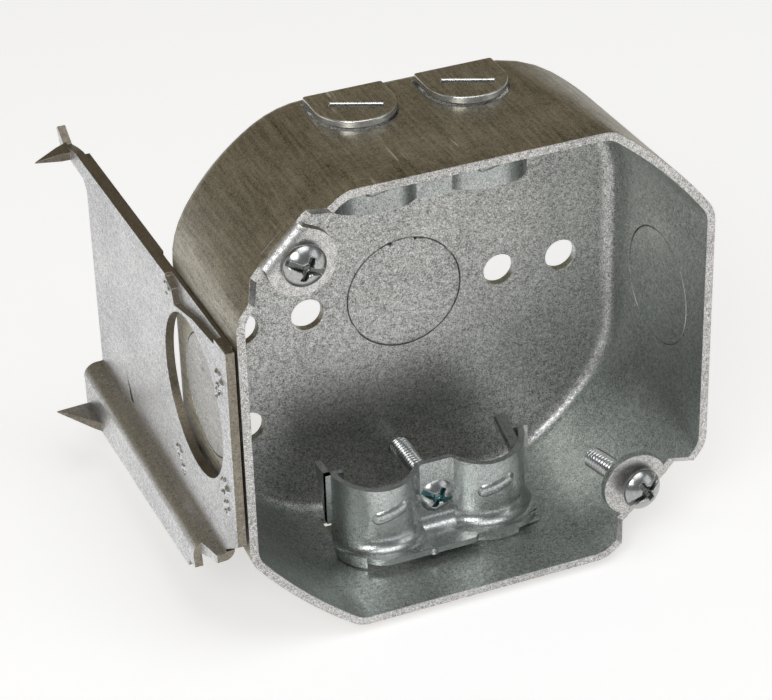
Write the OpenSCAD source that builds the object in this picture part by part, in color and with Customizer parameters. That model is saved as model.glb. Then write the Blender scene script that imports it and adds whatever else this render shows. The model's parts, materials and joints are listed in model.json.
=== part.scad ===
// Octagonal sheet-steel electrical box, open at the front, with two cable clamps,
// pry-out cable entries, round knockouts and a mounting bracket welded to its left side.
// Millimetres. +Z is up, the open front faces -Y, and +X is to the right of somebody
// who looks into the box. The origin is the centre of the back wall's outer face.

/* [Box] */
// Distance across the straight sides
across_flats = 88.9; // [88:0.1:90]
// Distance across the bowed corner sides
across_corners = 99.6; // [99:0.1:100.2]
// Half the length of each straight side
flat_half = 24.4; // [24:0.1:25]
// Depth from the front rim to the back wall's outer face
box_depth = 37; // [36:0.5:40]
// Thickness of the box sheet
sheet = 1.6; // [1.4:0.1:1.7]
// Outer bend radius between the side walls and the back wall
back_bend_r = 4.7; // [4:0.1:5]
// Bend radius where a straight side meets a corner side, at the rim
side_bend_r = 6; // [5.5:0.1:7]
// Distance across the corner sides at the back wall, where the drawn corners are rounder
back_across_corners = 97.5; // [96:0.1:99]
// Half the length of each straight side at the back wall
back_flat_half = 21; // [20:0.1:23]
// Bend radius between the sides at the back wall
back_side_bend_r = 25; // [18:0.5:26]

/* [Ears and cover screws] */
// Distance of each cover screw from the centre of the box
screw_reach = 44.45; // [44:0.05:45]
// Depth of the ear's face behind the front rim
ear_depth = 2.5; // [2:0.1:4]
// Radius of the ear's round face
ear_r = 6.3; // [5.8:0.1:7]
// Half the width of the neck that joins an ear to the wall
ear_neck = 4.9; // [4:0.1:5.5]
// Outer radius of the bend that turns an ear in from the wall
ear_bend_r = 3; // [2.5:0.1:3.5]
// Gap between the ear's face and the head of the upper left screw
upper_head_gap = 0.6; // [0.2:0.1:2]
// Gap between the ear's face and the head of the lower right screw, which leans
lower_head_gap = 1.5; // [1:0.1:2]
// Length of a cover screw under its head
cover_screw_length = 15.9; // [12:0.1:20]

/* [Screws] */
// Radius of the threaded shanks
shank_r = 2.07; // [2:0.01:2.1]
// Radial running clearance of a shank in its tapped hole
thread_clearance = 0.05; // [0.02:0.01:0.08]
// Radius of a cover screw's head
cover_head_r = 3.9; // [3.6:0.1:4.2]
// Radius of a clamp screw's head
clamp_head_r = 3.7; // [3.4:0.1:4]
// Height of a head
head_height = 2.7; // [2.2:0.1:3]

/* [Knockouts] */
// Radius of each round knockout, for half-inch conduit
knockout_r = 11.1; // [10.8:0.1:11.3]
// Gap all round a knockout
knockout_gap = 0.2; // [0.15:0.05:0.3]
// Depth of the side knockouts' centre behind the front rim
side_knockout_depth = 17.8; // [16:0.1:19]
// Radius of the small screw holes in the back wall
screw_hole_r = 3.1; // [2.5:0.1:3.5]
// Distance between the inner pair of screw holes
inner_hole_spacing = 38.2; // [37:0.1:39]
// Distance between the outer pair of screw holes
outer_hole_spacing = 63.4; // [62:0.1:64]

/* [Cable entries] */
// Sideways place of the cable entries and the lower clamp
entry_centre_x = -1.8; // [-3:0.1:0]
// Half the distance between the two entries of a pair
entry_half_spacing = 10.4; // [9.6:0.1:11]
// Half the width of a pry-out
pryout_r = 7.4; // [6.5:0.1:8]
// Depth of a pry-out's rounded front behind the rim
pryout_front_depth = 18.6; // [17.5:0.1:20]
// Length of a pry-out from its rounded front to its square end
pryout_length = 13; // [12:0.1:13.2]
// Length of the screwdriver slot in a pry-out
pry_slot_length = 9.2; // [6:0.1:10]
// Angle at which the slot lies across the pry-out
pry_slot_skew = 25; // [0:1:30]

/* [Cable clamps] */
// Thickness of the clamp sheet
clamp_sheet = 1.2; // [1:0.1:1.4]
// Depth of the lower clamp's flat middle behind the rim
lower_clamp_depth = 18.9; // [18:0.1:22]
// How much further back the upper clamp has been screwed
upper_clamp_extra = 5.3; // [0:0.1:6]
// Sideways place of the upper clamp
upper_clamp_x = 1.1; // [0:0.1:2]
// Width of the clamp's flat middle
valley_width = 7.4; // [7:0.1:8.2]
// Outside radius of each cable arch
arch_r = 7.7; // [7.4:0.1:8]
// How far each arch stands in front of the flat middle
arch_bulge = 3.6; // [3.2:0.1:4]
// How far the side strips lie behind the flat middle
strip_back = 2.6; // [2:0.1:3.2]
// Height of the clamp above the wall that it slides on
clamp_height = 16.4; // [15.5:0.1:17]
// How far the free edge of each arch is drawn in at its crown
crown_dip = 1.2; // [0.6:0.1:1.6]
// Height of the clamp screw above that wall
clamp_screw_height = 8.75; // [8:0.05:10]
// Length of a clamp screw under its head
clamp_screw_length = 19.2; // [18.6:0.1:24]

/* [Mounting bracket] */
// Thickness of the bracket sheet
bracket_sheet = 1.6; // [1.4:0.1:1.7]
// Gap between the bracket plate and the box wall, bridged by the welds
bracket_gap = 0.55; // [0.4:0.05:0.8]
// Length of the plate from the box rim to its back edge
plate_length = 77.8; // [76:0.2:80]
// Height of the plate's top edge at the front
plate_top_front = 19; // [18:0.1:20]
// Height of the plate's top edge at the back
plate_top_back = 16.4; // [16:0.1:18]
// Height of the bend line where the bottom flange turns out
flange_z = -25.8; // [-27:0.1:-25]
// How far the bottom flange stands out from the plate
flange_out = 4.2; // [3.6:0.1:5]
// Height of the lip that hangs from the flange, at its back end
lip_height_back = 10.2; // [9:0.1:11]
// Height of the lip at its front end
lip_height_front = 7.6; // [7:0.1:9]
// Radius of the round access hole
access_hole_r = 14.85; // [14:0.05:15]
// Depth of the access hole's centre behind the rim
access_hole_depth = 19.3; // [19:0.1:20]

/* [Hidden] */
$fn = 48;

half = across_flats / 2;
corner_half = across_corners / 2;
rim_y = -box_depth;
cut = 20;
zinc = [0.62, 0.63, 0.62];
clamp_zinc = [0.70, 0.71, 0.72];
screw_zinc = [0.76, 0.78, 0.80];

// Share of the way from the rim, at 0, to the back wall, at 1.
function depth_share(y) = (y - rim_y) / box_depth;
function mix(a, b, t) = a + (b - a) * t;

// How much the back's corners differ from its right-hand ones, as changes to the distance across the
// corners, the flat's half length and the side bend: upper right, upper left, lower left, lower right.
corner_fullness = [[0, 0, 0], [3.5, 1.5, -5], [2, 1, -3], [0, 0, 0]];

// Corner i at the share t: a bowed arc [radius, offset of its centre along x and z], then the side
// bend [radius, x, y of its centre, angle at which it meets the arc].
function corner_shape(i, t) = let (
    flat = mix(flat_half, back_flat_half + corner_fullness[i][1], t),
    reach = mix(across_corners, back_across_corners + corner_fullness[i][0], t) / 2,
    bend = mix(side_bend_r, back_side_bend_r + corner_fullness[i][2], t),
    chord = (half - flat) / sqrt(2),
    sagitta = reach - (half + flat) / sqrt(2),
    r = (chord * chord + sagitta * sagitta) / (2 * sagitta),
    k = (r - reach) / sqrt(2),
    level = half - bend,
    x = sqrt(pow(r - bend, 2) - pow(level + k, 2)) - k)
    [r, k, bend, x, level, atan2(level + k, x + k)];
arc_steps = 8;
bend_steps = 4;

tapped_r = shank_r + thread_clearance;
wall_x = half - sheet;
side_knockout_y = rim_y + side_knockout_depth;
spare_hole_x = -31.6;
spare_hole_z = -21;

plate_x = -half - bracket_gap - bracket_sheet;
lip_x = plate_x - flange_out;
plate_back = rim_y + plate_length;
top_slope = (plate_top_front - plate_top_back) / plate_length;

// Each arch's round section: its centre, and where its outer end meets the side strip.
arch_y = arch_r - arch_bulge;
arch_x = valley_width / 2 + 0.3 + sqrt(arch_r * arch_r - arch_y * arch_y);
arch_end = arch_x + sqrt(arch_r * arch_r - pow(strip_back + clamp_sheet - arch_y, 2));
clamp_gap = 0.4;
// Sideways place of the clamp on the lower wall (side -1) or the upper wall (side 1).
function clamp_x(side) = side > 0 ? upper_clamp_x : entry_centre_x;
// How the lower right cover screw leans in its ear, as turns about x, y and z.
screw_lean = [-7, 0, 8.5];
head_gap = 0.05;
flange_fall = 0.37;

// Points of an arc about (cx, cy) from angle a0 to angle a1, without the first and last skip points.
function arc_points(cx, cy, r, a0, a1, n, skip = 0) =
    [for (i = [skip:n - skip]) let (a = a0 + (a1 - a0) * i / n) [cx + r * cos(a), cy + r * sin(a)]];

// Corner i of the outline at the share t, inset by d: side bend, corner arc, side bend.
function corner_points(i, d, t) = let (c = corner_shape(i, t)) concat(
    arc_points(c[4], c[3], c[2] - d, 0, 90 - c[5], bend_steps),
    arc_points(-c[1], -c[1], c[0] - d, 90 - c[5], c[5], arc_steps, 1),
    arc_points(c[3], c[4], c[2] - d, c[5], 90, bend_steps));

function turned(p, a) = [p[0] * cos(a) - p[1] * sin(a), p[0] * sin(a) + p[1] * cos(a)];

// Whole octagonal outline of the walls at the share t, inset by d.
function outline_points(d, t) = [for (i = [0:3]) each [for (p = corner_points(i, d, t)) turned(p, 90 * i)]];

// Height of the bracket's top edge at y.
function plate_top(y) = plate_top_front - top_slope * (y - rim_y);

// Draws a shape with x across and z up, from y - thick to y.
module facing_front(y, thick) {
    translate([0, y, 0])
        rotate([90, 0, 0])
            linear_extrude(thick)
                children();
}

// Draws a shape with y across and z up, from x to x + thick.
module facing_side(x, thick) {
    translate([x, 0, 0])
        rotate([90, 0, 90])
            linear_extrude(thick)
                children();
}

// Bar along y with the radius r, through (x, z), from y0 to y1.
module bar_y(x, z, r, y0, y1) {
    translate([x, y1, z])
        rotate([90, 0, 0])
            cylinder(r = r, h = y1 - y0);
}

// Bar along x with the radius r, through (y, z), from x0 to x1.
module bar_x(y, z, r, x0, x1) {
    translate([x0, y, z])
        rotate([0, 90, 0])
            cylinder(r = r, h = x1 - x0);
}

// Closed tub with a rounded back edge: the outline inset by d, from y0 to y1.
module tub(d, bend, y0, y1) {
    steps = 8;
    // Each ring is [inset, y]: the front, then the steps round the bend.
    rings = concat([[d, y0]],
        [for (i = [0:steps]) let (a = 90 * i / steps) [d + bend * (1 - cos(a)), y1 - bend * (1 - sin(a))]]);
    n = len(outline_points(d, 0));
    last = len(rings) - 1;
    polyhedron(
        points = [for (r = rings)
            each [for (p = outline_points(r[0], depth_share(r[1]))) [p[0], r[1], p[1]]]],
        faces = concat(
            [[for (i = [n - 1:-1:0]) i]],
            [[for (i = [0:n - 1]) last * n + i]],
            [for (k = [0:last - 1]) each [for (i = [0:n - 1]) each [
                [k * n + i, k * n + (i + 1) % n, (k + 1) * n + (i + 1) % n],
                [k * n + i, (k + 1) * n + (i + 1) % n, (k + 1) * n + i]]]]));
}

// Ear that is bent in from a corner wall, drawn towards +X.
module ear() {
    face = rim_y + ear_depth;
    bend_x0 = corner_half - ear_bend_r;
    bend_y0 = face + ear_bend_r;
    intersection() {
        linear_extrude(2 * ear_r, center = true) {
            translate([screw_reach - ear_r - 1, face])
                square([bend_x0 - screw_reach + ear_r + 1, sheet]);
            intersection() {
                difference() {
                    translate([bend_x0, bend_y0]) circle(r = ear_bend_r);
                    translate([bend_x0, bend_y0]) circle(r = ear_bend_r - sheet);
                }
                translate([bend_x0, face]) square(ear_bend_r);
            }
            translate([corner_half - sheet, bend_y0])
                square([sheet, 1]);
        }
        facing_front(0, box_depth) {
            translate([screw_reach, 0]) circle(r = ear_r);
            translate([screw_reach, -ear_neck]) square([cut, 2 * ear_neck]);
        }
    }
}

// Notch that frees an ear from the rim: a flared mouth, and a deeper part across the neck.
module ear_notch() {
    side = ear_neck + 2.4;
    flare = 3.6;
    mouth = 4;
    depth = ear_depth + ear_bend_r;
    translate([corner_half - cut / 2, 0, 0])
        rotate([90, 0, 90])
            linear_extrude(cut) {
                polygon([[rim_y - 1, -side - flare], [rim_y - 1, side + flare],
                    [rim_y + mouth, side], [rim_y + mouth, -side]]);
                translate([rim_y, -ear_neck]) square([depth, 2 * ear_neck]);
            }
}

// Puts the screw of the ear that lies in the direction a on the ear's face, leaning by lean.
module at_ear(a, lean) {
    rotate([0, a, 0])
        translate([screw_reach, rim_y + ear_depth, 0])
            rotate([0, -a, 0])
                rotate(lean)
                    children();
}

// Opening of a cable entry in the top wall; side is -1 for left and 1 for right.
module entry_opening(side) {
    play = 0.25;
    r = pryout_r + play;
    y = rim_y + pryout_front_depth + pryout_r;
    back = rim_y + pryout_front_depth + pryout_length + play;
    translate([entry_centre_x + side * entry_half_spacing, y, wall_x - 1]) {
        intersection() {
            cylinder(r = r, h = sheet + 2);
            translate([-cut, -cut, 0]) cube([2 * cut, cut + back - y, sheet + 2]);
        }
        translate([-r, 0, 0]) cube([2 * r, back - y, sheet + 2]);
    }
}

module box_shell() {
    color(zinc)
    difference() {
        union() {
            difference() {
                tub(0, back_bend_r, rim_y, 0);
                tub(sheet, back_bend_r - sheet, rim_y - 1, -sheet);
                for (a = [45, 225]) rotate([0, a, 0]) ear_notch();
            }
            intersection() {
                for (a = [45, 225]) rotate([0, a, 0]) ear();
                tub(0, back_bend_r, rim_y, 0);
            }
        }
        at_ear(225, [0, 0, 0]) bar_y(0, 0, tapped_r, -3, 7);
        at_ear(45, screw_lean) bar_y(0, 0, tapped_r, -3, 7);
        bar_y(0, 0, knockout_r + knockout_gap, -5, 1);
        for (s = [-1, 1]) {
            bar_y(s * inner_hole_spacing / 2, 0, screw_hole_r, -5, 1);
            bar_y(s * outer_hole_spacing / 2, 0, screw_hole_r, -5, 1);
            bar_x(side_knockout_y, 0, knockout_r + knockout_gap, s * half - 3, s * half + 3);
            bar_y(clamp_x(s), s * (wall_x - clamp_gap - clamp_screw_height), tapped_r, -5, 1);
            entry_opening(s);
            mirror([0, 0, 1]) entry_opening(s);
        }
        bar_y(spare_hole_x, spare_hole_z, screw_hole_r, -5, 1);
    }
}

// Height of the plate's foot, just inside the bend of the falling flange.
function foot_z(y) = flange_z + 0.3 - (y - rim_y) * tan(flange_fall);

// Vertical plate of the bracket with its neck and the prong at its end.
module bracket_plate() {
    neck_low = 12.7;
    facing_side(plate_x, bracket_sheet)
        difference() {
            polygon([
                [rim_y, flange_z + 5.5],
                [rim_y, plate_top_front],
                [plate_back + 5.7, plate_top(plate_back + 5.7)],
                [plate_back + 9.6, neck_low + 2.6],
                [plate_back + 13.5, neck_low + 1.4],
                [plate_back + 17.4, neck_low + 3.7],
                [plate_back + 18.2, neck_low + 3.1],
                [plate_back + 16.4, neck_low - 0.1],
                [plate_back + 1.8, neck_low],
                [plate_back, neck_low - 1.6],
                [plate_back, foot_z(plate_back)],
                [rim_y + 7.5, foot_z(rim_y + 7.5)]]);
            translate([rim_y + access_hole_depth, -0.3]) circle(r = access_hole_r);
            // Narrow tapered slot that runs down to the bend line.
            polygon([[rim_y + 61.5, -19.4], [rim_y + 57.9, -25.1], [rim_y + 59.9, -25.2]]);
        }
}

// Shallow notch along the front of the plate's top edge.
module top_notch() {
    facing_side(plate_x - 1, bracket_sheet + 0.7)
        polygon([
            [rim_y + 5.5, cut],
            [rim_y + 6, 17.7],
            [rim_y + 17, 16.4],
            [rim_y + 24, 14.6],
            [rim_y + 27, 13.8],
            [rim_y + 28, 16.4],
            [rim_y + 31, 17.4],
            [rim_y + 31.5, cut]]);
}

// Flange that turns out from the foot of the plate, and its hanging lip.
module bracket_flange() {
    inner_r = 0.5;
    root_r = bracket_sheet + inner_r;
    crest_r = 2.8;
    flange_front = rim_y + 6.6;
    lip_front = rim_y + 13;
    // The front corner of the flange is cut away in front of the lip.
    difference() {
        facing_front(plate_back - 0.5, plate_back - 0.5 - flange_front) {
            intersection() {
                difference() {
                    translate([plate_x - inner_r, flange_z + inner_r]) circle(r = root_r);
                    translate([plate_x - inner_r, flange_z + inner_r]) circle(r = inner_r);
                }
                translate([plate_x - inner_r, flange_z - bracket_sheet]) square(root_r);
            }
            translate([lip_x + crest_r, flange_z - bracket_sheet])
                square([flange_out - crest_r - inner_r, bracket_sheet]);
            intersection() {
                difference() {
                    translate([lip_x + crest_r, flange_z - crest_r]) circle(r = crest_r);
                    translate([lip_x + crest_r, flange_z - crest_r]) circle(r = crest_r - bracket_sheet);
                }
                translate([lip_x, flange_z - crest_r]) square(crest_r);
            }
        }
        translate([0, 0, flange_z - cut])
            linear_extrude(2 * cut)
                polygon([[lip_x - 1, flange_front - 1], [lip_x + 2.6, flange_front - 1],
                    [lip_x + 1.4, lip_front - 1], [lip_x - 1, lip_front]]);
    }
    // The lip is a little higher at the front, and its front end is cut to two points.
    facing_side(lip_x, bracket_sheet)
        polygon([
            [plate_back - 1, flange_z - crest_r],
            [plate_back - 1, flange_z - lip_height_back + 1],
            [plate_back - 2, flange_z - lip_height_back],
            [lip_front + 4.4, flange_z - lip_height_front - 0.2],
            [lip_front + 3.2, flange_z - lip_height_front],
            [lip_front + 2.4, flange_z - lip_height_front + 1.6],
            [lip_front - 0.6, flange_z - lip_height_front + 1.9],
            [lip_front, flange_z - crest_r]]);
}

// Pointed nail spur from x = 0 out to x = -reach, hammered thin towards its tip.
module spur(y0, y1, tip_y, reach) {
    intersection() {
        linear_extrude(bracket_sheet)
            polygon([[0.6, y0], [0.6, y1], [-reach, tip_y]]);
        facing_front(y1 + 1, y1 - y0 + 2)
            polygon([[0.7, -0.1], [0.7, bracket_sheet + 0.1], [-1, bracket_sheet + 0.1], [-reach - 0.1, 1],
                [-reach - 0.1, 0.7], [-1, -0.1]]);
    }
}

module mounting_bracket() {
    color(zinc) {
        difference() {
            union() {
                bracket_plate();
                // Narrow stiffening flange that is turned in along the top edge.
                facing_side(plate_x, bracket_sheet + bracket_gap - 0.05)
                    polygon([
                        [rim_y + 2, plate_top(rim_y + 2) - 1.4],
                        [rim_y + 2, plate_top(rim_y + 2)],
                        [plate_back + 1, plate_top(plate_back + 1)],
                        [plate_back + 1, plate_top(plate_back + 1) - 1.4]]);
                // Its wider part, behind the box.
                facing_side(plate_x + 0.2, bracket_sheet + 0.7)
                    polygon([
                        [rim_y + 39, plate_top(rim_y + 39) - 1.4],
                        [rim_y + 39, plate_top(rim_y + 39)],
                        [plate_back + 4.6, plate_top(plate_back + 4.6)],
                        [plate_back + 5.4, plate_top(plate_back + 5.4) - 1.4]]);
            }
            top_notch();
        }
        // The flange falls a little towards its back end.
        translate([0, rim_y, flange_z])
            rotate([-flange_fall, 0, 0])
                translate([0, -rim_y, -flange_z])
                    bracket_flange();
        // Lower spur, bent out from the lip near its back end.
        translate([lip_x + 0.5, 0, flange_z - lip_height_back + 0.1])
            rotate([0, 27, 0])
                spur(rim_y + 66.5, rim_y + 76.5, rim_y + 70, 9.8);
        // Upper spur, bent out from the end of the neck.
        translate([plate_x, 0, 13])
            spur(plate_back + 9.4, plate_back + 14, plate_back + 9.6, 7);
        // Weld projections that reach the box wall.
        for (p = [[3.9, 11.8], [4.6, -10.4], [30, 15.4], [30, -18.6]])
            bar_x(rim_y + p[0], p[1], 1.3, plate_x + bracket_sheet - 0.2, -half);
    }
}

module back_knockout() {
    color(zinc) bar_y(0, 0, knockout_r, -sheet, 0);
}

module left_knockout() {
    color(zinc) bar_x(side_knockout_y, 0, knockout_r, -half, -wall_x);
}

module right_knockout() {
    color(zinc) bar_x(side_knockout_y, 0, knockout_r, wall_x, half);
}

// Pry-out tab over an entry in the top wall; side is -1 for left and 1 for right.
module pryout(side) {
    lift = 0.05;
    centre_y = pryout_r;
    slot_y = 6.2;
    color(zinc)
    translate([entry_centre_x + side * entry_half_spacing, rim_y + pryout_front_depth, half + lift])
        difference() {
            union() {
                translate([0, centre_y, 0]) cylinder(r = pryout_r, h = sheet);
                translate([-pryout_r, centre_y, 0]) cube([2 * pryout_r, pryout_length - centre_y, sheet]);
            }
            // A full circle would reach past the square end.
            translate([-cut, pryout_length, -1]) cube([2 * cut, cut, sheet + 2]);
            translate([0, slot_y, sheet / 2])
                rotate([0, 0, -pry_slot_skew])
                    cube([pry_slot_length, 1.2, sheet + 2], center = true);
        }
}

module upper_left_pryout() {
    pryout(-1);
}

module upper_right_pryout() {
    pryout(1);
}

module lower_left_pryout() {
    mirror([0, 0, 1]) pryout(-1);
}

module lower_right_pryout() {
    mirror([0, 0, 1]) pryout(1);
}

// Half of the clamp's corrugated section: one round arch that ends in its side strip.
module arch_section(side) {
    mirror([side < 0 ? 1 : 0, 0]) {
        intersection() {
            difference() {
                translate([arch_x, arch_y]) circle(r = arch_r);
                translate([arch_x, arch_y]) circle(r = arch_r - clamp_sheet);
            }
            union() {
                translate([0, -arch_bulge - 1]) square([arch_x, arch_bulge + 1 + clamp_sheet]);
                translate([arch_x, -arch_bulge - 1])
                    square([2 * arch_r, arch_bulge + 1 + strip_back + clamp_sheet]);
            }
        }
    }
}

// Cable clamp that stands on the wall at z = 0, its flat middle at y = 0, opening to +Y.
module clamp() {
    foot_front = -8.3;
    foot_r = 6.5;
    foot_left = -17.5;
    foot_right = 19.8;
    strip_inner = arch_end - clamp_sheet - 0.2;
    strip_outer = arch_end + 2.1;
    strip_low = 5.8;
    tooth_length = 5.5;
    dip_r = (arch_r * arch_r + crown_dip * crown_dip) / (2 * crown_dip);
    difference() {
        union() {
            // Foot with two rounded front corners.
            linear_extrude(clamp_sheet) {
                for (x = [foot_left + foot_r, foot_right - foot_r])
                    translate([x, foot_front + foot_r]) circle(r = foot_r);
                translate([foot_left + foot_r, foot_front])
                    square([foot_right - foot_left - 2 * foot_r, clamp_sheet - foot_front]);
                translate([foot_left, foot_front + foot_r])
                    square([foot_right - foot_left, clamp_sheet - foot_front - foot_r]);
            }
            linear_extrude(clamp_height) {
                for (side = [-1, 1]) arch_section(side);
                translate([-valley_width / 2 - 0.6, 0]) square([valley_width + 1.2, clamp_sheet]);
            }
            // Side strips.
            for (s = [-1, 1])
                translate([s * (strip_inner + strip_outer) / 2, strip_back + clamp_sheet / 2,
                    (strip_low + clamp_height) / 2])
                    cube([strip_outer - strip_inner, clamp_sheet, clamp_height - strip_low], center = true);
            // Pointed tooth, bent back from the left strip.
            facing_side(-strip_outer, clamp_sheet)
                translate([strip_back, 0])
                    polygon([[0, strip_low], [clamp_sheet, strip_low], [tooth_length, clamp_height],
                        [0, clamp_height]]);
            // Leaning prong behind the right arch, standing on its outer end.
            facing_side(arch_x + arch_r - 3, 2)
                polygon([[-1, clamp_height - 3.4], [-1, clamp_height - 1.4], [6.2, clamp_height + 1.4],
                    [7, clamp_height + 0.4]]);
        }
        // The free edge of each arch is drawn in at its crown.
        for (s = [-1, 1])
            bar_y(s * arch_x, clamp_height + dip_r - crown_dip, dip_r, -arch_bulge - 1, 1.8);
        bar_y(0, clamp_screw_height, shank_r + 0.15, -2, 3);
    }
}

// Places a clamp part on the lower wall (side -1) or, turned half round, on the upper wall (side 1).
module at_clamp(side) {
    y = rim_y + lower_clamp_depth + (side > 0 ? upper_clamp_extra : 0);
    translate([clamp_x(side), y, side * (wall_x - clamp_gap)])
        rotate([0, side > 0 ? 180 : 0, 0])
            children();
}

module upper_cable_clamp() {
    color(clamp_zinc) at_clamp(1) clamp();
}

module lower_cable_clamp() {
    color(clamp_zinc) at_clamp(-1) clamp();
}

// Round-headed machine screw along +Y, its head's underside at y = 0.
module screw(head_r, length) {
    rim_h = 0.8;
    dome = head_height - rim_h;
    dome_r = (head_r * head_r + dome * dome) / (2 * dome);
    slot_w = 1.1;
    slot_d = 1.3;
    rotate([-90, 0, 0]) {
        difference() {
            intersection() {
                translate([0, 0, -head_height]) cylinder(r = head_r, h = head_height);
                translate([0, 0, dome_r - head_height]) sphere(r = dome_r);
            }
            translate([0, 0, -head_height + slot_d / 2 - 0.05]) {
                cube([2 * head_r + 1, slot_w, slot_d + 0.1], center = true);
                cube([slot_w, head_r * 1.1, slot_d + 0.1], center = true);
            }
        }
        translate([0, 0, -0.1]) cylinder(r = shank_r, h = length - 0.5);
        translate([0, 0, length - 0.6]) cylinder(r1 = shank_r, r2 = shank_r - 0.5, h = 0.6);
    }
}

module clamp_screw(side) {
    color(screw_zinc)
        at_clamp(side)
            translate([0, -head_gap, clamp_screw_height])
                rotate([0, 35, 0])
                    screw(clamp_head_r, clamp_screw_length);
}

module upper_clamp_screw() {
    clamp_screw(1);
}

module lower_clamp_screw() {
    clamp_screw(-1);
}

// Cover screw in the ear that lies in the direction a, with its slot turned by turn.
module cover_screw(a, lean, gap, turn) {
    color(screw_zinc)
        at_ear(a, lean)
            translate([0, -gap, 0])
                rotate([0, turn, 0])
                    screw(cover_head_r, cover_screw_length);
}

module upper_left_cover_screw() {
    cover_screw(225, [0, 0, 0], upper_head_gap, 245);
}

module lower_right_cover_screw() {
    cover_screw(45, screw_lean, lower_head_gap, 115);
}

box_shell();
mounting_bracket();
back_knockout();
left_knockout();
right_knockout();
upper_left_pryout();
upper_right_pryout();
lower_left_pryout();
lower_right_pryout();
upper_cable_clamp();
lower_cable_clamp();
upper_clamp_screw();
lower_clamp_screw();
upper_left_cover_screw();
lower_right_cover_screw();
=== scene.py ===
import json
import math

import bmesh
import bpy
import numpy as np
from mathutils import Matrix, Vector


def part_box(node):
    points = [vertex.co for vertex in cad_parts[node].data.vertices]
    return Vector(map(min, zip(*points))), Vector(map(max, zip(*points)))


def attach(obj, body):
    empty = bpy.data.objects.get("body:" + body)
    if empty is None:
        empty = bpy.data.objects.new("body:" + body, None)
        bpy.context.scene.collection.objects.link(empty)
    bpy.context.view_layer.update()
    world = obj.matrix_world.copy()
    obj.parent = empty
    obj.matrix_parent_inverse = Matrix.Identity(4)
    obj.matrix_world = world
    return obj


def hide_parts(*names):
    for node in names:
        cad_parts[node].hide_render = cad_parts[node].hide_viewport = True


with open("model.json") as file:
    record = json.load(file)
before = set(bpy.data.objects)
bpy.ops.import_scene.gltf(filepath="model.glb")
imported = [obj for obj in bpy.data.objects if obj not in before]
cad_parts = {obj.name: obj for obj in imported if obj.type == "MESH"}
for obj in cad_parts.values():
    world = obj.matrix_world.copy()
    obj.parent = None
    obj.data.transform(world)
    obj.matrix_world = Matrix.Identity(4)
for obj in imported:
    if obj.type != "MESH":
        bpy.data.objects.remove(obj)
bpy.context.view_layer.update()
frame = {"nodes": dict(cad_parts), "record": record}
MM = 0.001

# ---------------------------------------------------------------- the box's own sizes, in millimetres
SHEET = 1.6
HALF = 44.45
RIM_Y = -37.0
KNOCKOUT_R = 11.2
KNOCKOUT_GAP = 0.1
SHANK_R = 2.05
THREAD_DEPTH = 0.42
THREAD_PITCH = 0.794
HEAD_HEIGHT = 2.7
COVER_HEAD_R = 3.9
CLAMP_HEAD_R = 3.7
CLAMP_SHEET = 1.2
# Outer face of the bracket's plate.
PLATE_X = -46.6
# Edges shorter than this are merged before a CAD copy is bevelled.
SHORTEST_EDGE = 0.2


# ---------------------------------------------------------------- mesh helpers
def grid_quads(rows, columns, wrap=False):
    """Quads of a rows x columns grid of points, row after row; wrap joins the last column to the first."""
    r = np.arange(rows - 1)[:, None]
    c = np.arange(columns if wrap else columns - 1)[None, :]
    after = (c + 1) % columns
    below = (r + 1) * columns
    quads = np.stack([r * columns + c, r * columns + after, below + after, below + c], -1)
    return quads.reshape(-1, 4)


def mesh_piece(name, points, quads, material, smooth_angle=40, second=None):
    """A new object at the origin from points in millimetres, welded, with its faces turned outwards.
    second is (which quads, the material they take)."""
    mesh = bpy.data.meshes.new(name)
    mesh.from_pydata((np.asarray(points) * MM).tolist(), [], np.asarray(quads).tolist())
    if second:
        mesh.polygons.foreach_set("material_index", second[0].astype(np.int32))
    tidy = bmesh.new()
    tidy.from_mesh(mesh)
    bmesh.ops.remove_doubles(tidy, verts=tidy.verts, dist=2e-6)
    bmesh.ops.dissolve_degenerate(tidy, edges=tidy.edges, dist=1e-6)
    bmesh.ops.recalc_face_normals(tidy, faces=tidy.faces)
    finish_shading(tidy, mesh, smooth_angle)
    piece = bpy.data.objects.new(name, mesh)
    bpy.context.scene.collection.objects.link(piece)
    mesh.materials.append(material)
    if second:
        mesh.materials.append(second[1])
    return piece


def finish_shading(tidy, mesh, smooth_angle):
    """Writes the mesh back with smooth faces and a crisp line wherever two faces meet past smooth_angle."""
    limit = math.radians(smooth_angle)
    for face in tidy.faces:
        face.smooth = True
    for edge in tidy.edges:
        edge.smooth = len(edge.link_faces) == 2 and edge.calc_face_angle(0) < limit
    tidy.to_mesh(mesh)
    tidy.free()


def joined(parts):
    """(points, quads) of several (points, quads) put together."""
    points, quads, start = [], [], 0
    for p, q in parts:
        points.append(p)
        quads.append(q + start)
        start += len(p)
    return np.concatenate(points), np.concatenate(quads)


def thick_sheet(front, thickness):
    """Closed sheet from a grid of front points (rows, columns, 3): the back lies at
    front + thickness * n, where n is the unit cross product of the grid's two directions."""
    down = np.gradient(front, axis=0)
    across = np.gradient(front, axis=1)
    n = np.cross(down, across)
    n /= np.linalg.norm(n, axis=-1, keepdims=True) + 1e-12
    back = front + thickness * n
    rows, columns, _ = front.shape
    face = grid_quads(rows, columns)
    count = rows * columns
    index = np.arange(count).reshape(rows, columns)
    rim = np.concatenate([index[0, :], index[1:, -1], index[-1, -2::-1], index[-2:0:-1, 0]])
    after = np.roll(rim, -1)
    walls = np.stack([rim, after, after + count, rim + count], -1)
    return (np.concatenate([front.reshape(-1, 3), back.reshape(-1, 3)]),
            np.concatenate([face, face[:, ::-1] + count, walls]))


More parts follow.
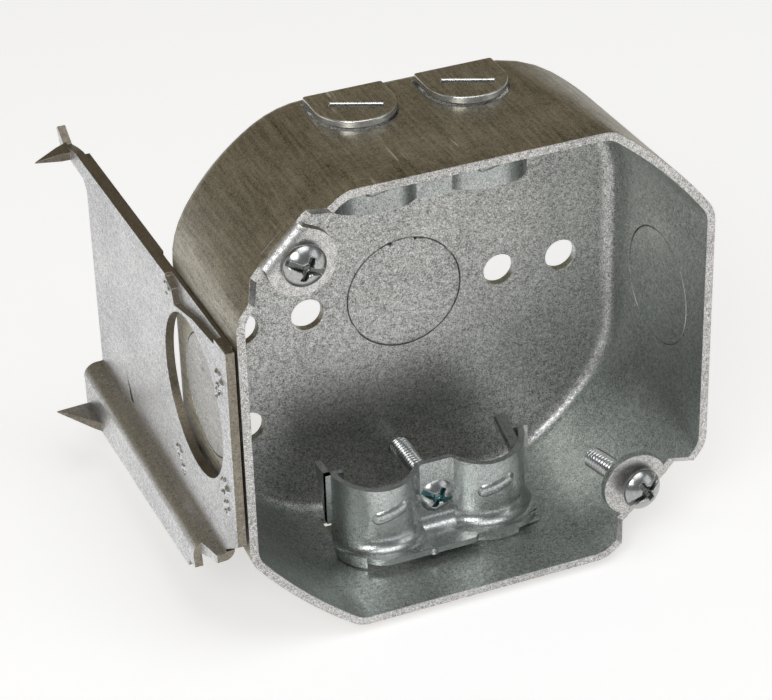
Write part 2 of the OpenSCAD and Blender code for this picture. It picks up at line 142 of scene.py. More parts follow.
def prism(outline, low, high, place):
    """Closed prism from an outline of (a, b) points, from low to high; place turns (a, b, c) into x, y, z."""
    outline = np.asarray(outline, float)
    n = len(outline)
    centre = outline.mean(0)
    rings = [np.column_stack([o, np.full(n, h)]) for o, h in (
        (np.tile(centre, (n, 1)), low), (outline, low), (outline, high), (np.tile(centre, (n, 1)), high))]
    return place(np.concatenate(rings)), grid_quads(4, n, wrap=True)


def bevelled(piece, width, angle=35, segments=3, keep_clear=False):
    """Rounds the piece's edges past the angle by width millimetres; keep_clear narrows the rounding where
    the edges are too short for it."""
    bevel = piece.modifiers.new("edge_round", "BEVEL")
    bevel.width = width * MM
    bevel.segments = segments
    bevel.limit_method = "ANGLE"
    bevel.angle_limit = math.radians(angle)
    bevel.use_clamp_overlap = keep_clear
    bevel.harden_normals = True
    return piece


def finished(piece, body, slot, *nodes):
    """Puts the piece on the body it rides on and hides the CAD nodes it stands for. The slot, which finish it
    takes, is not used.
    """
    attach(piece, body)
    if nodes:
        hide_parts(*nodes)
    return piece


def edge_rounded_copy(node, name, width, choose, materials):
    """A welded copy of a CAD node with rounded edges. choose(centre, normal) gives, for arrays of face
    centres in millimetres and face normals, the number of each face's material."""
    mesh = frame["nodes"][node].data.copy()
    mesh.name = name
    mesh.materials.clear()
    for material in materials:
        mesh.materials.append(material)
    tidy = bmesh.new()
    tidy.from_mesh(mesh)
    bmesh.ops.remove_doubles(tidy, verts=tidy.verts, dist=2e-6)
    bmesh.ops.dissolve_degenerate(tidy, edges=tidy.edges, dist=2e-6)
    bmesh.ops.dissolve_limit(tidy, angle_limit=math.radians(1), verts=tidy.verts, edges=tidy.edges)
    # Edges shorter than the bevel would make it cross itself.
    bmesh.ops.remove_doubles(tidy, verts=tidy.verts, dist=SHORTEST_EDGE * MM)
    bmesh.ops.dissolve_degenerate(tidy, edges=tidy.edges, dist=SHORTEST_EDGE * MM)
    tidy.normal_update()
    centres = np.array([f.calc_center_median() for f in tidy.faces]) / MM
    normals = np.array([f.normal for f in tidy.faces])
    for face, number in zip(tidy.faces, choose(centres, normals)):
        face.material_index = int(number)
    finish_shading(tidy, mesh, 32)
    piece = bpy.data.objects.new(name, mesh)
    bpy.context.scene.collection.objects.link(piece)
    return bevelled(piece, width, 38, 2)


# ---------------------------------------------------------------- material helpers
def new_group(name, inputs, outputs):
    """A shader node group with inputs {name: (socket type, default)} and outputs {name: socket type}, and
    its input and output nodes."""
    group = bpy.data.node_groups.new(name, "ShaderNodeTree")
    for key, (kind, default) in inputs.items():
        socket = group.interface.new_socket(key, in_out="INPUT", socket_type=kind)
        socket.default_value = default
    for key, kind in outputs.items():
        group.interface.new_socket(key, in_out="OUTPUT", socket_type=kind)
    return group, group.nodes.new("NodeGroupInput"), group.nodes.new("NodeGroupOutput")


def add(tree, kind, **settings):
    """A new node of that kind with its settings."""
    node = tree.nodes.new(kind)
    for key, value in settings.items():
        setattr(node, key, value)
    return node


def maths(tree, operation, a, b=0.0, clamp=False):
    """Output of a Math node; a and b are sockets or numbers."""
    node = add(tree, "ShaderNodeMath", operation=operation, use_clamp=clamp)
    for socket, value in zip(node.inputs, (a, b)):
        if isinstance(value, bpy.types.NodeSocket):
            tree.links.new(value, socket)
        else:
            socket.default_value = value
    return node.outputs[0]


def noise(tree, vector, scale, detail=2.0, roughness=0.5, distortion=0.0):
    """Noise factor at a scale in features per metre."""
    node = add(tree, "ShaderNodeTexNoise")
    node.inputs["Scale"].default_value = scale
    node.inputs["Detail"].default_value = detail
    node.inputs["Roughness"].default_value = roughness
    node.inputs["Distortion"].default_value = distortion
    tree.links.new(vector, node.inputs["Vector"])
    return node.outputs["Fac"]


def ramp(tree, value, low, high, out_low=0.0, out_high=1.0, smooth=True):
    """The value mapped from low..high to out_low..out_high."""
    node = add(tree, "ShaderNodeMapRange", interpolation_type="SMOOTHSTEP" if smooth else "LINEAR")
    for key, number in (("From Min", low), ("From Max", high), ("To Min", out_low), ("To Max", out_high)):
        node.inputs[key].default_value = number
    tree.links.new(value, node.inputs["Value"])
    return node.outputs["Result"]


def mixed(tree, factor, a, b, blend="MIX"):
    """Colour mix of a and b, which are sockets or colours."""
    node = add(tree, "ShaderNodeMix", data_type="RGBA", blend_type=blend)
    for socket, value in ((node.inputs[0], factor), (node.inputs[6], a), (node.inputs[7], b)):
        if isinstance(value, bpy.types.NodeSocket):
            tree.links.new(value, socket)
        else:
            socket.default_value = value
    return node.outputs[2]


def stretched(tree, vector, stretch, turn=(0, 0, 0)):
    """The coordinates scaled along each axis and turned."""
    node = add(tree, "ShaderNodeMapping")
    node.inputs["Scale"].default_value = stretch
    node.inputs["Rotation"].default_value = turn
    tree.links.new(vector, node.inputs["Vector"])
    return node.outputs["Vector"]


def zinc_grain_group():
    """Fine dark and light speckle of galvanised sheet, over soft stains: a tone near 0.5, and a height."""
    group, enter, leave = new_group(
        "zinc_grain",
        {"Grain Size": ("NodeSocketFloat", 1.0), "Contrast": ("NodeSocketFloat", 1.0),
         "Stain": ("NodeSocketFloat", 1.0)},
        {"Tone": "NodeSocketFloat", "Height": "NodeSocketFloat"})
    place = group.nodes.new("ShaderNodeTexCoord").outputs["Object"]
    sized = add(group, "ShaderNodeVectorMath", operation="SCALE")
    group.links.new(place, sized.inputs[0])
    group.links.new(maths(group, "DIVIDE", 1.0, enter.outputs["Grain Size"]), sized.inputs["Scale"])
    fine = noise(group, sized.outputs[0], 4200, 2.0, 0.7)
    blotch = noise(group, sized.outputs[0], 1100, 3.0, 0.65)
    stain = noise(group, place, 46, 4.0, 0.55, 0.4)
    speckle = maths(group, "ADD", maths(group, "MULTIPLY", maths(group, "SUBTRACT", fine, 0.5), 4.2),
                    maths(group, "MULTIPLY", maths(group, "SUBTRACT", blotch, 0.5), 1.5))
    tone = maths(group, "MULTIPLY", speckle, enter.outputs["Contrast"])
    cloud = maths(group, "MULTIPLY", maths(group, "SUBTRACT", stain, 0.5), enter.outputs["Stain"])
    total = maths(group, "ADD", maths(group, "ADD", tone, cloud), 0.5, clamp=True)
    group.links.new(total, leave.inputs["Tone"])
    group.links.new(fine, leave.inputs["Height"])
    return group


def draw_lines_group():
    """Fine parallel lines left by the drawing die along the box's depth, and a few bright scratches."""
    group, enter, leave = new_group(
        "draw_lines",
        {"Strength": ("NodeSocketFloat", 1.0)},
        {"Lines": "NodeSocketFloat", "Scratches": "NodeSocketFloat"})
    place = group.nodes.new("ShaderNodeTexCoord").outputs["Object"]
    lines = noise(group, stretched(group, place, (1.0, 0.06, 1.0), (0, 0, 0.05)), 1500, 3.0, 0.6)
    group.links.new(maths(group, "MULTIPLY", maths(group, "SUBTRACT", lines, 0.5), enter.outputs["Strength"]),
                    leave.inputs["Lines"])
    wander = stretched(group, place, (1.0, 0.09, 1.0), (0.2, 0.35, 0.5))
    long_marks = noise(group, wander, 700, 2.0, 0.4, 0.3)
    patches = noise(group, place, 90, 2.0, 0.5)
    marks = maths(group, "MULTIPLY", ramp(group, long_marks, 0.67, 0.73), ramp(group, patches, 0.52, 0.62))
    group.links.new(maths(group, "MULTIPLY", marks, enter.outputs["Strength"], clamp=True),
                    leave.inputs["Scratches"])
    return group


GRAIN = zinc_grain_group()
DRAW = draw_lines_group()


def sheet_metal(name, dark, light, grain=1.0, contrast=0.5, stain=0.6, lines=0.0, rough=(0.32, 0.5),
                metallic=0.9, bump=0.12, scratch_light=(0.85, 0.85, 0.83, 1)):
    """Plated sheet: a colour between dark and light by the grain's tone, streaked by the die lines."""
    material = bpy.data.materials.new(name)
    material.use_nodes = True
    tree = material.node_tree
    shader = tree.nodes["Principled BSDF"]
    grain_node = add(tree, "ShaderNodeGroup", node_tree=GRAIN)
    grain_node.inputs["Grain Size"].default_value = grain
    grain_node.inputs["Contrast"].default_value = contrast
    grain_node.inputs["Stain"].default_value = stain
    tone = grain_node.outputs["Tone"]
    if lines:
        draw = add(tree, "ShaderNodeGroup", node_tree=DRAW)
        draw.inputs["Strength"].default_value = lines
        streaked = maths(tree, "ADD", tone, draw.outputs["Lines"], clamp=True)
        colour = mixed(tree, streaked, (*dark, 1), (*light, 1))
        colour = mixed(tree, draw.outputs["Scratches"], colour, scratch_light)
    else:
        colour = mixed(tree, tone, (*dark, 1), (*light, 1))
    tree.links.new(colour, shader.inputs["Base Color"])
    tree.links.new(ramp(tree, tone, 0.0, 1.0, rough[1], rough[0], smooth=False), shader.inputs["Roughness"])
    shader.inputs["Metallic"].default_value = metallic
    bumps = add(tree, "ShaderNodeBump")
    bumps.inputs["Strength"].default_value = bump
    bumps.inputs["Distance"].default_value = 0.00012
    tree.links.new(grain_node.outputs["Height"], bumps.inputs["Height"])
    tree.links.new(bumps.outputs["Normal"], shader.inputs["Normal"])
    return material


INNER_ZINC = sheet_metal("inner_zinc", (0.12, 0.12, 0.115), (0.82, 0.82, 0.80), 1.0, 0.62, 0.4)
INNER_WALL_ZINC = sheet_metal("inner_wall_zinc", (0.15, 0.165, 0.155), (0.78, 0.82, 0.78), 1.1, 0.5, 0.7)
OUTER_ZINC = sheet_metal("outer_zinc", (0.09, 0.075, 0.05), (0.66, 0.62, 0.52), 1.2, 0.34, 0.9, 0.9,
                         (0.34, 0.48))
RIM_ZINC = sheet_metal("rim_zinc", (0.16, 0.155, 0.15), (0.84, 0.83, 0.81), 0.8, 0.7, 0.6, 0.0, (0.26, 0.42))
BRACKET_ZINC = sheet_metal("bracket_zinc", (0.28, 0.285, 0.30), (0.95, 0.95, 0.96), 1.0, 0.6, 0.6, 0.3,
                           (0.3, 0.46))
# Darker brown for the bracket's cut edges and other faces that don't face sideways: painted shade.
BRACKET_EDGE_SHADE = sheet_metal("bracket_edge_shade", (0.10, 0.085, 0.06), (0.40, 0.36, 0.30), 1.0, 0.35, 0.6, 0.4)
# Darker grey for the flange's upward faces: painted shade. The left knockout slug takes it too.
SHADE_GREY_ZINC = sheet_metal("shade_grey_zinc", (0.20, 0.19, 0.175), (0.72, 0.71, 0.69), 1.0, 0.5, 0.7, 0.5)
CLAMP_ZINC = sheet_metal("clamp_zinc", (0.10, 0.11, 0.10), (0.78, 0.81, 0.80), 0.8, 0.4, 0.9, 0.0,
                         (0.20, 0.32))
PUNCHED_ZINC = sheet_metal("punched_zinc", (0.34, 0.36, 0.36), (0.92, 0.93, 0.93), 0.6, 0.3, 0.3, 0.0,
                           (0.12, 0.24))
SCREW_ZINC = sheet_metal("screw_zinc", (0.16, 0.165, 0.165), (0.66, 0.67, 0.66), 0.5, 0.3, 0.5, 0.0,
                         (0.17, 0.3), 1.0, 0.05)
# Dark zinc in the screw heads' slot and cross bar: painted shade in the recess.
RECESS_SHADE_ZINC = sheet_metal("recess_shade_zinc", (0.03, 0.035, 0.03), (0.24, 0.25, 0.23), 0.5, 0.3, 0.4, 0.0,
                          (0.2, 0.34), 1.0, 0.05)
# Dark teal for the clamp screw's recess: the screw's own teal, darkened as painted shade.
TEAL_RECESS_SHADE = sheet_metal("teal_recess_shade", (0.02, 0.06, 0.065), (0.16, 0.33, 0.35), 0.5, 0.3, 0.4, 0.0,
                        (0.16, 0.3), 1.0, 0.05)


# ---------------------------------------------------------------- box shell and bracket
def box_surfaces(centre, normal):
    """0 for the inside of the back wall, 1 for the inner walls, 2 for the outside, 3 for the rim."""
    x, y, z = centre.T
    radial = np.stack([x, z], 1)
    radial /= np.linalg.norm(radial, axis=1, keepdims=True) + 1e-9
    outward = (normal[:, [0, 2]] * radial).sum(1)
    number = np.where(outward > 0.15, 2, 1)
    number = np.where((normal[:, 1] < -0.5) & (y > -12), 0, number)
    number = np.where((normal[:, 1] > 0.3) & (y > -6), 2, number)
    number = np.where((np.abs(normal[:, 1]) > 0.5) & (y < RIM_Y + 7), 3, number)
    return number


def bracket_surfaces(centre, normal):
    """0 for the plate's and lip's faces, 1 for the cut edges and the other faces that don't face sideways,
    painted darker and browner as shade, 2 for the upward faces of the flange that turns out, painted a darker
    grey as shade.
    """
    x, y, z = centre.T
    number = np.where(np.abs(normal[:, 0]) > 0.8, 0, 1)
    return np.where((z < -25.5) & (normal[:, 2] > 0.25), 2, number)


finished(
    edge_rounded_copy("box_shell", "box_shell_drawn", 0.12, box_surfaces,
                      (INNER_ZINC, INNER_WALL_ZINC, OUTER_ZINC, RIM_ZINC)),
    "box", "box_sheet", "box_shell")
finished(
    edge_rounded_copy("mounting_bracket", "mounting_bracket_pressed", 0.1, bracket_surfaces,
                      (BRACKET_ZINC, BRACKET_EDGE_SHADE, SHADE_GREY_ZINC)),
    "box", "bracket_sheet", "mounting_bracket")


# ---------------------------------------------------------------- knockouts
def knockout_disc(name, centre, inward, up, tie_width, dimples=()):
    """Round slug as rings of radius q * r(t) about its centre. r(t) is the slug's radius, let out to the
    hole's edge over the tie at t = 90 degrees and nicked at each side of the tie. The rings go from the
    middle of the inner face over a rounded edge to the middle of the outer face. Dimples are round
    hollows (a, b, radius, depth) in the outer face."""
    turns = 256
    t = np.linspace(0, 2 * np.pi, turns, endpoint=False)
    from_tie = np.degrees(np.abs((t - np.pi / 2 + np.pi) % (2 * np.pi) - np.pi))
    half_tie = math.degrees(tie_width / 2 / KNOCKOUT_R)
    tie = 1 / (1 + np.exp((from_tie - half_tie) * 3))
    nick = np.exp(-((from_tie - half_tie) / 1.1) ** 2)
    radius = KNOCKOUT_R + KNOCKOUT_GAP * tie - 0.75 * nick
    round_r = 0.3
    turn = np.linspace(0, np.pi / 2, 5)
    # Each ring is (share of the radius, inset from the edge, depth from the inner face).
    rings = [(q, 0.0, 0.0) for q in np.linspace(0, 0.94, 14)]
    rings += [(1, round_r * (1 - math.sin(a)), round_r * (1 - math.cos(a))) for a in turn]
    rings += [(1, round_r * (1 - math.cos(a)), SHEET - round_r * (1 - math.sin(a))) for a in turn]
    rings += [(q, 0.0, SHEET) for q in np.linspace(0.94, 0, 26)]
    share, inset, depth = (np.array(c)[:, None] for c in zip(*rings))
    r = share * radius - inset
    a, b = r * np.cos(t), r * np.sin(t)
    depth = np.broadcast_to(depth, a.shape).copy()
    for da, db, dr, dd in dimples:
        near = np.hypot(a - da, b - db) / dr
        hollow = dd * np.exp(-near ** 4) * (1 - 0.6 * np.exp(-(near * 3) ** 2))
        depth -= np.where(depth > SHEET / 2, hollow, 0)
    inward, up = np.array(inward, float), np.array(up, float)
    side = np.cross(up, inward)
    points = (np.array(centre) + a[..., None] * side + b[..., None] * up - depth[..., None] * inward)
    return mesh_piece(name, points.reshape(-1, 3), grid_quads(len(rings), turns, wrap=True), INNER_ZINC, 60)


SIDE_Y = RIM_Y + 17.8
finished(knockout_disc("back_knockout_slug", (0, -SHEET, 0), (0, -1, 0), (0, 0, 1), 5.0),
         "back_knockout", "knockout_sheet", "back_knockout")
left_slug = knockout_disc("left_knockout_slug", (-HALF + SHEET, SIDE_Y, 0), (1, 0, 0), (0, 0, 1), 4.0,
                          ((-5.5, 3.0, 1.1, 0.5), (2.5, 4.5, 1.1, 0.5)))
finished(left_slug, "left_knockout", "knockout_sheet", "left_knockout")
# The left slug takes the darker grey that paints the flange's shade.
left_slug.data.materials[0] = SHADE_GREY_ZINC
right_slug = knockout_disc("right_knockout_slug", (HALF - SHEET, SIDE_Y, 0), (-1, 0, 0), (0, 0, 1), 4.0)
right_slug.data.materials[0] = INNER_WALL_ZINC
finished(right_slug, "right_knockout", "knockout_sheet", "right_knockout")


# ---------------------------------------------------------------- pry-outs
def pryout_surfaces(centre, normal):
    """0 for the flat faces, 1 for the sheared edge and the slot."""
    return np.where(np.abs(normal[:, 2]) > 0.7, 0, 1)


for node in ("upper_left_pryout", "upper_right_pryout", "lower_left_pryout", "lower_right_pryout"):
    finished(edge_rounded_copy(node, node + "_sheared", 0.42, pryout_surfaces, (OUTER_ZINC, PUNCHED_ZINC)),
             node, "pryout_sheet", node)


# ---------------------------------------------------------------- cable clamps
ARCH_R = 7.7
ARCH_Y = 4.1
ARCH_X = 10.52
CLAMP_HEIGHT = 16.4
FOOT_LEFT, FOOT_RIGHT, FOOT_FRONT, FOOT_R = -17.5, 19.8, -8.2, 6.4


def resampled(path, count):
    """The path's points (n, 2) spread evenly along its length."""
    step = np.concatenate([[0], np.cumsum(np.linalg.norm(np.diff(path, axis=0), axis=1))])
    at = np.linspace(0, step[-1], count)
    return np.stack([np.interp(at, step, path[:, i]) for i in (0, 1)], 1)


def clamp_section(columns):
    """Front line of the corrugated sheet, seen from above: two arcs of radius ARCH_R joined by the flat
    middle at y = 0, with the joints rounded by averaging neighbours."""
    turn = np.radians(np.linspace(-57.8, 86, 120))
    right = np.stack([ARCH_X + ARCH_R * np.sin(turn), ARCH_Y - ARCH_R * np.cos(turn)], 1)
    left = right[::-1] * (-1, 1)
    middle = np.stack([np.linspace(-3.9, 3.9, 30), np.zeros(30)], 1)
    line = resampled(np.concatenate([left, middle, right]), columns)
    width = 7
    padded = np.pad(line, ((width, width), (0, 0)), "edge")
    kernel = np.hanning(2 * width + 3)[1:-1]
    kernel /= kernel.sum()
    return np.stack([np.convolve(padded[:, i], kernel, "valid") for i in (0, 1)], 1)


def foot_outline(columns):
    """Front edge of the foot from its left side round two corner arcs to its right side, with the small
    step in the middle of the real one."""
    turn = np.radians(np.linspace(180, 270, 24))
    left = np.stack([FOOT_LEFT + FOOT_R + FOOT_R * np.cos(turn),
                     FOOT_FRONT + FOOT_R + FOOT_R * np.sin(turn)], 1)
    right = np.stack([FOOT_RIGHT - FOOT_R - FOOT_R * np.cos(turn[::-1]),
                      FOOT_FRONT + FOOT_R + FOOT_R * np.sin(turn[::-1])], 1)
    outline = resampled(np.concatenate([[[FOOT_LEFT, 1.2]], left, right, [[FOOT_RIGHT, 1.2]]]), columns)
    step = 1 / (1 + np.exp(-(outline[:, 0] - 5.2) * 6))
    nib = 0.45 * np.exp(-((outline[:, 0] + 3.5) / 0.5) ** 2)
    front = outline[:, 1] < FOOT_FRONT + 3
    outline[:, 1] += np.where(front, 0.9 * step - nib, 0)
    return outline


def clamp_sheet_part():
    """Stamped sheet of the clamp: each column runs from the foot's edge along the foot's top face, round
    a fillet and up the corrugated section. Its height drops at the crown of each arch, and an oblong
    bead stands out of each arch."""
    columns = 300
    base = clamp_section(columns)
    foot = foot_outline(columns)
    fillet = 3.9
    top = CLAMP_SHEET
    crown = np.clip(1 - ((np.abs(base[:, 0]) - ARCH_X) / ARCH_R) ** 2, 0, 1)
    free_edge = CLAMP_HEIGHT - 1.2 * crown
    tangent = np.gradient(base, axis=0)
    tangent /= np.linalg.norm(tangent, axis=1, keepdims=True)
    out = np.stack([tangent[:, 1], -tangent[:, 0]], 1)
    out_soft = 0.35 * out + 0.65 * np.array([0.0, -1.0])
    out_soft /= np.linalg.norm(out_soft, axis=1, keepdims=True)
    start = base + out_soft * fillet
    rows = []
    for share in np.linspace(0, 1, 16):
        flat = foot * (1 - share) + start * share
        rows.append(np.column_stack([flat, np.full(columns, top)]))
    for angle in np.linspace(0, np.pi / 2, 14)[1:]:
        flat = base + out_soft * fillet * (1 - math.sin(angle))
        rows.append(np.column_stack([flat, np.full(columns, top + fillet * (1 - math.cos(angle)))]))
    for share in np.linspace(0, 1, 80)[1:]:
        rows.append(np.column_stack([base, top + fillet + (free_edge - top - fillet) * share]))
    front = np.stack(rows)
    # Oblong bead on each arch: a ridge along the arch, round at its ends.
    for side in (-1, 1):
        turn = np.degrees(np.arctan2((front[..., 0] - side * ARCH_X), ARCH_Y - front[..., 1]))
        along = np.clip(np.abs(turn - 1) - 15, 0, None) * math.radians(1) * ARCH_R
        level = 9.9 + 0.04 * turn
        away = np.hypot(along, front[..., 2] - level) / 0.62
        push = 0.5 / (1 + np.exp((away - 1) * 6))
        push = np.where((np.sign(front[..., 0]) == side) & (np.abs(turn) < 60), push, 0)
        front[..., :2] += push[..., None] * out[None]
    return thick_sheet(front, -CLAMP_SHEET)


def clamp_part():
    """Points and quads of the whole clamp, standing on z = 0 with its flat middle's face at y = 0."""
    side_view = lambda p: p[:, [2, 0, 1]]
    arch_end = ARCH_X + ARCH_R
    inner, outer = arch_end - CLAMP_SHEET - 0.25, arch_end + 2.1
    strip = [(2.6, 5.8), (3.8, 5.8), (3.8, CLAMP_HEIGHT), (2.6, CLAMP_HEIGHT)]
    tooth = [(2.7, 5.9), (3.8, 5.9), (8.1, CLAMP_HEIGHT), (2.7, CLAMP_HEIGHT)]
    prong = [(-1.0, CLAMP_HEIGHT - 3.4), (7.0, CLAMP_HEIGHT + 0.4), (6.2, CLAMP_HEIGHT + 1.4),
             (-1.0, CLAMP_HEIGHT - 1.4)]
    prong_x = ARCH_X + ARCH_R - 3
    return joined([
        clamp_sheet_part(),
        prism(strip, inner, outer, side_view),
        prism(strip, -outer, -inner, side_view),
        prism(tooth, -outer, -outer + CLAMP_SHEET, side_view),
        prism(prong, prong_x, prong_x + 2, side_view)])


def clamp_piece(name, node, turned):
    """Clamp put where its CAD node stands; turned sets it on the upper wall, half round about Y. The
    part's own middle is at x = 0, and its foot reaches to FOOT_FRONT."""
    points, quads = clamp_part()
    if turned:
        points = points * (-1, 1, -1)
    low, high = (np.array(c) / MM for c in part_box(node))
    mid_x = (low[0] + high[0]) / 2
    wall = high[2] if turned else low[2]
    points = points + (mid_x, low[1] - FOOT_FRONT + 0.1, wall)
    piece = mesh_piece(name, points, quads, CLAMP_ZINC, 42)
    bevelled(piece, 0.22, 62, 2, keep_clear=True)
    return piece


finished(clamp_piece("lower_clamp_stamped", "lower_cable_clamp", False),
         "lower_clamp", "clamp_sheet", "lower_cable_clamp")
finished(clamp_piece("upper_clamp_stamped", "upper_cable_clamp", True),
         "upper_clamp", "clamp_sheet", "upper_cable_clamp")


# ---------------------------------------------------------------- screws
def screw_piece(name, node, axis, head_r, slot_turn, recess_shade_material):
    """Screw as rings about its axis. The head is a dome h(r) = H - (R - sqrt(R^2 - r^2)) with a slot and a
    short cross bar sunk into it, and the shank's radius is r0 - d * ridge(z / pitch - t / turn)."""
    node_points = np.array([v.co for v in frame["nodes"][node].data.vertices]) / MM
    axis = np.array(axis, float) / np.linalg.norm(axis)
    along = node_points @ axis
    length = along.max() - along.min() - HEAD_HEIGHT
    tip = node_points[along > along.max() - 0.01].mean(0)
    seat = tip - axis * length
    turns = 192
    t = np.linspace(0, 2 * np.pi, turns, endpoint=False)
    rim_h = 0.8
    dome = HEAD_HEIGHT - rim_h
    dome_r = (head_r ** 2 + dome ** 2) / (2 * dome)
    radii = np.linspace(0, 1, 64) ** 0.85 * (head_r - 0.12)
    r_head = np.broadcast_to(radii[:, None], (64, turns))
    depth_head = -HEAD_HEIGHT + dome_r - np.sqrt(dome_r ** 2 - r_head ** 2)
    u = r_head * np.cos(t + math.radians(slot_turn))
    v = r_head * np.sin(t + math.radians(slot_turn))
    bar = lambda a, b, half_w, half_l: (1 / (1 + np.exp((np.abs(a) - half_w) * 28))
                                        / (1 + np.exp((np.abs(b) - half_l) * 16)))
    slot = bar(u, v, 0.52, head_r + 1)
    cross = bar(v, u, 0.5, head_r * 0.55)
    middle = np.exp(-(np.hypot(u, v) / 1.0) ** 4)
    sink = np.maximum(slot * 1.15, np.maximum(cross * 1.25, middle * 1.5))
    floor = -HEAD_HEIGHT + 1.35 + 0.35 * middle
    sunk_depth = np.minimum(depth_head + sink, np.maximum(floor, depth_head))
    depth_head = np.where(sink > 0.02, sunk_depth, depth_head)
    rings_r = [r_head]
    rings_d = [depth_head]
    edge = [(head_r - 0.03, -rim_h + 0.02), (head_r, -rim_h + 0.2), (head_r, -0.25), (head_r - 0.08, -0.08),
            (head_r - 0.25, 0.0), (SHANK_R + 0.5, 0.0), (SHANK_R, 0.02)]
    for r, d in edge:
        rings_r.append(np.full((1, turns), r))
        rings_d.append(np.full((1, turns), d))
    depth = np.linspace(0.1, length - 0.7, int((length - 0.8) / THREAD_PITCH * 9))[:, None]
    phase = (depth / THREAD_PITCH - t / (2 * np.pi)) % 1
    ridge = np.clip(np.abs(phase - 0.5) * 2.5 - 0.12, 0, 1)
    grown = np.clip((depth - 0.4) / 1.0, 0, 1) * np.clip((length - 0.6 - depth) / 0.6 + 0.6, 0, 1)
    rings_r.append(SHANK_R - THREAD_DEPTH * ridge * grown)
    rings_d.append(np.broadcast_to(depth, phase.shape))
    for r, d in ((SHANK_R - 0.3, length - 0.4), (SHANK_R - 0.6, length), (0.6, length), (0, length)):
        rings_r.append(np.full((1, turns), r))
        rings_d.append(np.full((1, turns), d))
    r, d = np.concatenate(rings_r), np.concatenate(rings_d)
    side = np.cross(axis, (0, 0, 1))
    side /= np.linalg.norm(side)
    up = np.cross(side, axis)
    points = seat + (r * np.cos(t))[..., None] * side + (r * np.sin(t))[..., None] * up + d[..., None] * axis
    quads = grid_quads(len(r), turns, wrap=True)
    # Faces sunk more than 0.35 mm take the recess material: painted shade in the slot and cross bar.
    sunk = np.zeros(r.shape, bool)
    sunk[:len(sink)] = sink > 0.35
    shaded_recess_faces = sunk.reshape(-1)[quads].all(1)
    piece = mesh_piece(name, points.reshape(-1, 3), quads, SCREW_ZINC, 50, (shaded_recess_faces, recess_shade_material))
    return piece


def slide_axis(name):
    """Unit axis of a joint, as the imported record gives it."""
    joints = frame["record"]["behaviour"]["joints"]
    return np.array(next(j["axis"] for j in joints if j["name"] == name), float)


# Each screw's recess material paints the shade in its slot; the clamp screw's is dark teal.
for node, axis, head_r, slot_turn, recess_shade_material in (
        ("lower_clamp_screw", (0, 1, 0), CLAMP_HEAD_R, 118, TEAL_RECESS_SHADE),
        ("upper_clamp_screw", (0, 1, 0), CLAMP_HEAD_R, 20, RECESS_SHADE_ZINC),
        ("upper_left_cover_screw", (0, 1, 0), COVER_HEAD_R, 115, RECESS_SHADE_ZINC),
        ("lower_right_cover_screw", -slide_axis("lower_right_cover_screw_slide"), COVER_HEAD_R, 60,
         RECESS_SHADE_ZINC)):
    finished(screw_piece(node + "_turned", node, axis, head_r, slot_turn, recess_shade_material),
             node, "screw_zinc", node)


# ---------------------------------------------------------------- weld marks
def weld_mark(centre, radius, height):
    """Crater of a projection weld on the plate's outer face: height times a ring at 0.7 of the radius,
    broken up by a wave of five lobes."""
    turns, rings = 40, 14
    t = np.linspace(0, 2 * np.pi, turns, endpoint=False)
    q = np.linspace(0, 1, rings)[:, None]
    lobes = 1 + 0.18 * np.sin(5 * t + centre[1]) + 0.1 * np.sin(3 * t + 2 * centre[2])
    r = q * radius * lobes
    ridge = height * np.exp(-((q - 0.7) / 0.18) ** 2) * lobes + 0.03 * (1 - q ** 4)
    ridge = np.where(q >= 1, -0.1, ridge) * np.ones_like(t)
    front = np.stack([centre[0] - ridge, centre[1] + r * np.cos(t), centre[2] + r * np.sin(t)], -1)
    back = front.copy()
    back[..., 0] = centre[0] + 0.1
    points = np.concatenate([front.reshape(-1, 3), back[::-1].reshape(-1, 3)])
    return points, grid_quads(2 * rings, turns, wrap=True)


marks = joined([weld_mark((PLATE_X, RIM_Y + y, z), r, h) for y, z, r, h in (
    (3.9, 11.8, 1.9, 0.45), (4.9, 8.6, 1.2, 0.4), (4.6, -10.4, 1.9, 0.5), (4.2, -14.4, 1.5, 0.4),
    (30, 15.4, 1.6, 0.3), (30, -18.6, 1.5, 0.35), (28.2, -21.4, 1.1, 0.3))])
weld_marks = mesh_piece("weld_marks", *marks, PUNCHED_ZINC, 60)
finished(weld_marks, "box", "bracket_sheet")


# ---------------------------------------------------------------- floor, light and camera
FLOOR_GREY = 0.6
FLOOR_GLOW = 0.56
STUDIO_FRONT = (0.20, 0.21, 0.22, 1)
STUDIO_BEHIND = (0.20, 0.172, 0.115, 1)
# Azimuth, elevation and roll in degrees.
CAMERA_ANGLES = (-21.679, 32.104, -1.8)
CAMERA_PLACE = (-0.16671, -0.40964, 0.26386)
CAMERA_LENS = 130.63
CAMERA_SHIFT = (0.00355, 0.0013)


def floor(level):
    """Plain pale floor under the object."""
    bpy.ops.mesh.primitive_plane_add(size=8, location=(0, 0, level))
    plane = bpy.context.object
    plane.name = "floor"
    material = bpy.data.materials.new("floor_white")
    material.use_nodes = True
    shader = material.node_tree.nodes["Principled BSDF"]
    shader.inputs["Base Color"].default_value = (FLOOR_GREY, FLOOR_GREY, FLOOR_GREY, 1)
    shader.inputs["Roughness"].default_value = 0.9
    shader.inputs["Specular IOR Level"].default_value = 0.0
    shader.inputs["Emission Color"].default_value = (1, 1, 1, 1)
    shader.inputs["Emission Strength"].default_value = FLOOR_GLOW
    plane.data.materials.append(material)


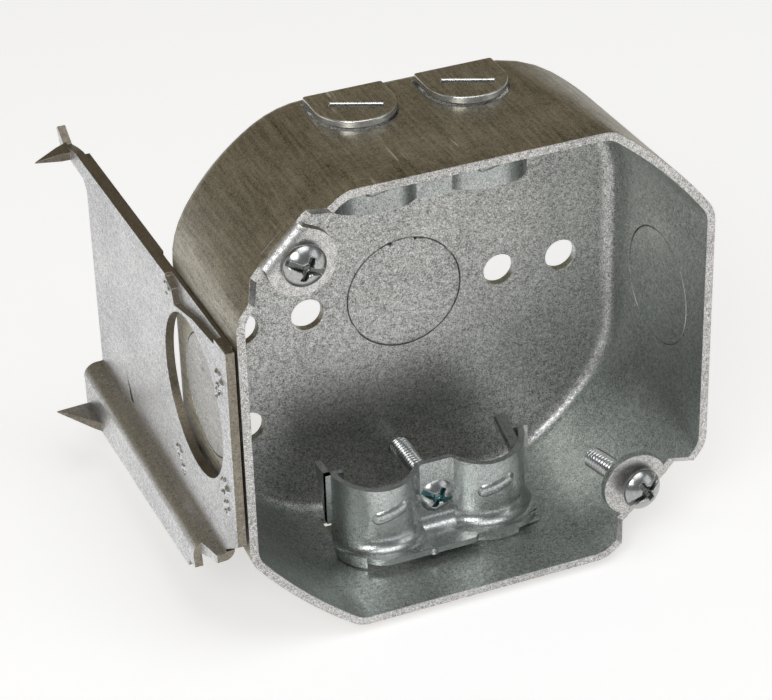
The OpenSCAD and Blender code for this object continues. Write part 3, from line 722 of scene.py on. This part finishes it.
def softbox(name, place, size, power):
    """Square area light at place that looks at the origin."""
    light = bpy.data.lights.new(name, "AREA")
    light.size = size
    light.energy = power
    holder = bpy.data.objects.new(name, light)
    bpy.context.scene.collection.objects.link(holder)
    holder.location = place
    holder.rotation_euler = (-Vector(place)).to_track_quat("-Z", "Y").to_euler()


def studio_world(strength):
    """Dim surround, neutral in front of the object and warm behind it."""
    world = bpy.data.worlds.new("studio")
    bpy.context.scene.world = world
    world.use_nodes = True
    tree = world.node_tree
    sky = tree.nodes["Background"]
    direction = tree.nodes.new("ShaderNodeTexCoord").outputs["Generated"]
    parts = tree.nodes.new("ShaderNodeSeparateXYZ")
    tree.links.new(direction, parts.inputs[0])
    behind = ramp(tree, parts.outputs["Y"], -0.3, 0.4)
    tint = mixed(tree, behind, STUDIO_FRONT, STUDIO_BEHIND)
    tree.links.new(tint, sky.inputs["Color"])
    sky.inputs["Strength"].default_value = strength


def camera():
    """Long lens from the upper left in front of the box, rolled a little."""
    azimuth, elevation, roll = map(math.radians, CAMERA_ANGLES)
    back = Vector((math.sin(azimuth) * math.cos(elevation), -math.cos(azimuth) * math.cos(elevation),
                   math.sin(elevation)))
    right = Vector((math.cos(azimuth), math.sin(azimuth), 0))
    up = back.cross(right)
    rolled_right = math.cos(roll) * right + math.sin(roll) * up
    rolled_up = math.cos(roll) * up - math.sin(roll) * right
    lens = bpy.data.cameras.new("camera")
    holder = bpy.data.objects.new("camera", lens)
    bpy.context.scene.collection.objects.link(holder)
    turn = Matrix((rolled_right, rolled_up, back)).transposed().to_4x4()
    turn.translation = Vector(CAMERA_PLACE)
    holder.matrix_world = turn
    lens.sensor_width = 36
    lens.lens = CAMERA_LENS
    lens.shift_x, lens.shift_y = CAMERA_SHIFT
    lens.clip_start = 0.01
    bpy.context.scene.camera = holder


floor(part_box("lower_left_pryout")[0][2] - 0.0002)
softbox("key_softbox", (-0.45, -0.55, 0.55), 0.35, 2.4)
softbox("overhead_softbox", (0.1, -0.35, 0.95), 0.7, 3.6)
softbox("left_softbox", (-0.9, 0.1, 0.15), 0.6, 0.5)
softbox("right_fill", (0.7, -0.6, 0.35), 0.5, 0.8)
studio_world(1.0)
camera()
bpy.context.scene.view_settings.view_transform = "Standard"
